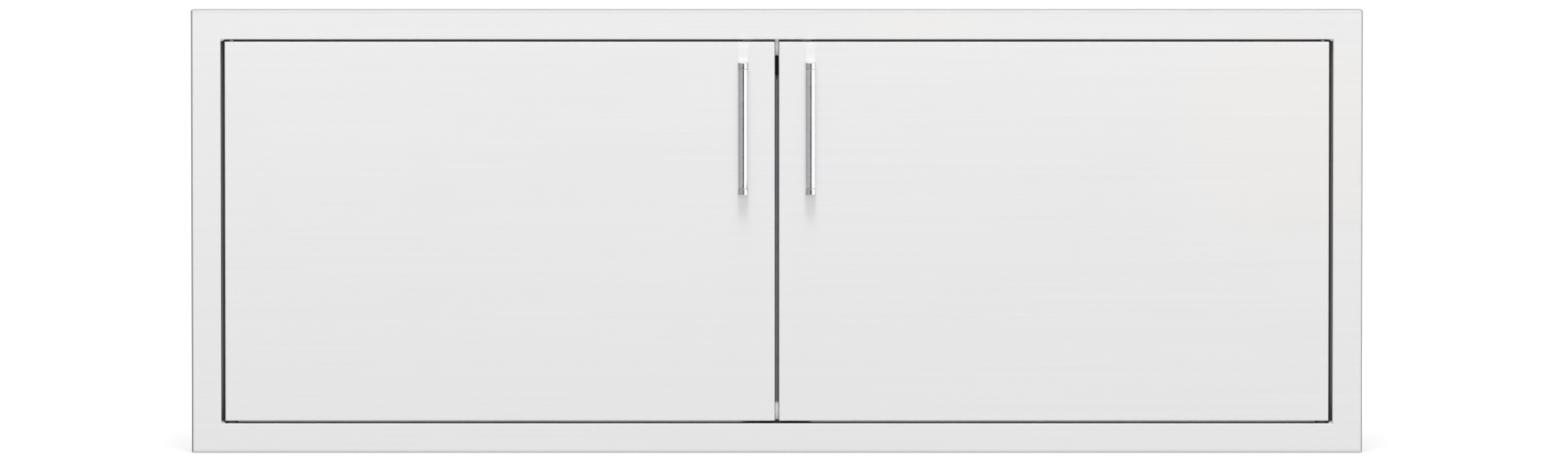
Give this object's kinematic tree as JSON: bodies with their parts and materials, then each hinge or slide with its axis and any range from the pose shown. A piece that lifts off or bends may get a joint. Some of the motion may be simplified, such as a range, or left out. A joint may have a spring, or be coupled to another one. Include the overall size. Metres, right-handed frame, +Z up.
{
  "type": "outdoor kitchen double access door",
  "caption": "Wide stainless double door in a raised face frame, flush-mounted in an island wall, with upright bar pulls at the meeting edges.",
  "frame": {"origin": "middle of the opening, on the wall plane that the back of the face frame lies on", "axes": "+X to the right seen from the front, +Y back into the wall, +Z up"},
  "size_m": [1.3716, 0.0961, 0.5206],
  "materials": {
    "brushed_stainless": "brushed along the width",
    "handle_steel": "bright, finely brushed along the bar",
    "bracket_steel": "mill finish sheet",
    "pin_steel": "turned bright",
    "fastener_steel": "plain stainless fasteners",
    "spring_steel": "drawn wire",
    "black_nylon": "moulded, fine grain",
    "seal_rubber": "extruded, matt",
    "bumper_rubber": "moulded, matt",
    "magnet_ferrite": "sintered, dark grey"
  },
  "bodies": {
    "frame": {"face_frame": "brushed_stainless", "top_jamb": "brushed_stainless", "bottom_jamb": "brushed_stainless", "left_jamb": "brushed_stainless", "right_jamb": "brushed_stainless", "left_top_bushing": "black_nylon", "right_top_bushing": "black_nylon", "left_bottom_pin": "bracket_steel", "right_bottom_pin": "bracket_steel", "left_pivot_washer": "black_nylon", "right_pivot_washer": "black_nylon", "catch_bracket": "bracket_steel", "catch_body": "black_nylon", "catch_magnets": "magnet_ferrite", "catch_pole_plates": "bracket_steel", "catch_screws": "fastener_steel", "catch_bracket_screws": "fastener_steel", "catch_bracket_nuts": "fastener_steel", "stop_bracket": "bracket_steel", "stop_bumpers": "bumper_rubber", "stop_bracket_screws": "fastener_steel", "stop_bracket_nuts": "fastener_steel"},
    "left_door": {"left_door_skin": "brushed_stainless", "left_door_liner": "brushed_stainless", "left_edge_seal": "seal_rubber", "left_handle_bar": "handle_steel", "left_handle_posts": "handle_steel", "left_handle_screws": "fastener_steel", "left_backing_plate": "bracket_steel", "left_access_plugs": "black_nylon", "left_bottom_bushing": "black_nylon", "left_pin_guide": "bracket_steel", "left_pin_spring": "spring_steel", "left_strike_plate": "bracket_steel", "left_strike_rivets": "fastener_steel"},
    "right_door": {"right_door_skin": "brushed_stainless", "right_door_liner": "brushed_stainless", "right_edge_seal": "seal_rubber", "right_handle_bar": "handle_steel", "right_handle_posts": "handle_steel", "right_handle_screws": "fastener_steel", "right_backing_plate": "bracket_steel", "right_access_plugs": "black_nylon", "right_bottom_bushing": "black_nylon", "right_pin_guide": "bracket_steel", "right_pin_spring": "spring_steel", "right_strike_plate": "bracket_steel", "right_strike_rivets": "fastener_steel"},
    "left_spring_pin": {"left_top_pin": "pin_steel", "left_pin_clip": "spring_steel"},
    "right_spring_pin": {"right_top_pin": "pin_steel", "right_pin_clip": "spring_steel"}
  },
  "joints": [
    {"name": "left_door_hinge", "type": "hinge", "parent": "frame", "child": "left_door", "pos_m": [-0.6388, -0.001, 0], "axis": [0, 0, -1], "range_deg": [0, 100]},
    {"name": "right_door_hinge", "type": "hinge", "parent": "frame", "child": "right_door", "pos_m": [0.6388, -0.001, 0], "axis": [0, 0, 1], "range_deg": [0, 100]},
    {"name": "left_spring_pin_slide", "type": "slide", "parent": "left_door", "child": "left_spring_pin", "axis": [0, 0, -1], "range_m": [0, 0.008], "stiffness_N_per_m": 600, "springref_m": -0.01, "deforming": ["left_pin_spring"]},
    {"name": "right_spring_pin_slide", "type": "slide", "parent": "right_door", "child": "right_spring_pin", "axis": [0, 0, -1], "range_m": [0, 0.008], "stiffness_N_per_m": 600, "springref_m": -0.01, "deforming": ["right_pin_spring"]}
  ]
}
